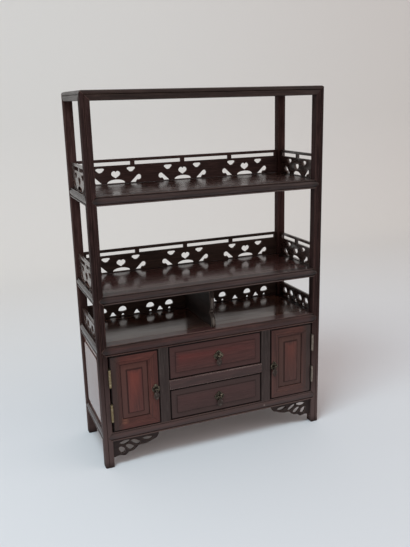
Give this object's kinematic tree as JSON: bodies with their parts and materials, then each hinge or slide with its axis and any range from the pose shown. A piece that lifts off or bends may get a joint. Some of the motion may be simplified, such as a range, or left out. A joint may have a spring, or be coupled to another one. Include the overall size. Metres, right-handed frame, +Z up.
{
  "type": "freestanding shelf",
  "caption": "Small Chinese hardwood display shelf with open tiers, pierced galleries, panelled doors, drawers with hanging pulls and scroll brackets.",
  "frame": {"origin": "on the floor plane, under the middle of the four legs", "axes": "+X to the object's right as seen from the front, +Y to the back, +Z up"},
  "size_m": [0.468, 0.1761, 0.7],
  "materials": {
    "frame_wood": "dark satin lacquer",
    "shelf_wood": "dark gloss lacquer",
    "gallery_wood": "dark satin lacquer",
    "panel_wood": "red-brown satin",
    "drawer_wood": "red-brown satin",
    "inner_wood": "unfinished",
    "hinge_brass": "dull brass",
    "pull_brass": "tarnished brass"
  },
  "bodies": {
    "frame": {"leg_front_left": "frame_wood", "leg_front_right": "frame_wood", "leg_back_left": "frame_wood", "leg_back_right": "frame_wood", "top_frame": "frame_wood", "upper_shelf_frame": "frame_wood", "middle_shelf_frame": "frame_wood", "cabinet_top_frame": "frame_wood", "base_frame": "frame_wood", "muntin_left": "frame_wood", "muntin_right": "frame_wood", "drawer_rail": "frame_wood", "top_panel": "shelf_wood", "upper_shelf_panel": "shelf_wood", "middle_shelf_panel": "shelf_wood", "cabinet_top_panel": "shelf_wood", "cabinet_floor": "shelf_wood", "gallery_upper_back": "gallery_wood", "gallery_upper_left": "gallery_wood", "gallery_upper_right": "gallery_wood", "gallery_middle_back": "gallery_wood", "gallery_middle_left": "gallery_wood", "gallery_middle_right": "gallery_wood", "gallery_lower_back": "gallery_wood", "gallery_lower_left": "gallery_wood", "gallery_lower_right": "gallery_wood", "lower_divider": "gallery_wood", "corner_bracket_left": "gallery_wood", "corner_bracket_right": "gallery_wood", "side_panel_left": "panel_wood", "partition_left": "inner_wood", "hinge_leaf_left_upper": "hinge_brass", "hinge_leaf_left_lower": "hinge_brass", "side_panel_right": "panel_wood", "partition_right": "inner_wood", "hinge_leaf_right_upper": "hinge_brass", "hinge_leaf_right_lower": "hinge_brass", "back_panel": "inner_wood"},
    "left_door": {"door_frame_left": "frame_wood", "door_panel_left": "panel_wood", "hinge_door_leaf_left_upper": "hinge_brass", "hinge_door_leaf_left_lower": "hinge_brass", "pull_plate_left_door": "pull_brass"},
    "right_door": {"door_frame_right": "frame_wood", "door_panel_right": "panel_wood", "hinge_door_leaf_right_upper": "hinge_brass", "hinge_door_leaf_right_lower": "hinge_brass", "pull_plate_right_door": "pull_brass"},
    "upper_drawer": {"drawer_front_upper": "drawer_wood", "drawer_box_upper": "inner_wood", "pull_plate_upper_drawer": "pull_brass"},
    "lower_drawer": {"drawer_front_lower": "drawer_wood", "drawer_box_lower": "inner_wood", "pull_plate_lower_drawer": "pull_brass"},
    "left_door_pull": {"pull_drop_left_door": "pull_brass"},
    "right_door_pull": {"pull_drop_right_door": "pull_brass"},
    "upper_drawer_pull": {"pull_drop_upper_drawer": "pull_brass"},
    "lower_drawer_pull": {"pull_drop_lower_drawer": "pull_brass"}
  },
  "joints": [
    {"name": "left_door_hinge", "type": "hinge", "parent": "frame", "child": "left_door", "pos_m": [-0.21565, -0.0875, 0.1495], "axis": [0, 0, -1], "range_deg": [0, 165]},
    {"name": "right_door_hinge", "type": "hinge", "parent": "frame", "child": "right_door", "pos_m": [0.21565, -0.0875, 0.1495], "axis": [0, 0, 1], "range_deg": [0, 165]},
    {"name": "upper_drawer_slide", "type": "slide", "parent": "frame", "child": "upper_drawer", "axis": [0, -1, 0], "range_m": [0, 0.1]},
    {"name": "lower_drawer_slide", "type": "slide", "parent": "frame", "child": "lower_drawer", "axis": [0, -1, 0], "range_m": [0, 0.1]},
    {"name": "left_door_pull_swing", "type": "hinge", "parent": "left_door", "child": "left_door_pull", "pos_m": [-0.1274, -0.0887, 0.1462], "axis": [-1, 0, 0], "range_deg": [-4, 85]},
    {"name": "right_door_pull_swing", "type": "hinge", "parent": "right_door", "child": "right_door_pull", "pos_m": [0.1274, -0.0887, 0.1462], "axis": [-1, 0, 0], "range_deg": [-4, 85]},
    {"name": "upper_drawer_pull_swing", "type": "hinge", "parent": "upper_drawer", "child": "upper_drawer_pull", "pos_m": [0.004, -0.0889, 0.192], "axis": [-1, 0, 0], "range_deg": [-4, 85]},
    {"name": "lower_drawer_pull_swing", "type": "hinge", "parent": "lower_drawer", "child": "lower_drawer_pull", "pos_m": [0.004, -0.0889, 0.1048], "axis": [-1, 0, 0], "range_deg": [-4, 85]}
  ]
}
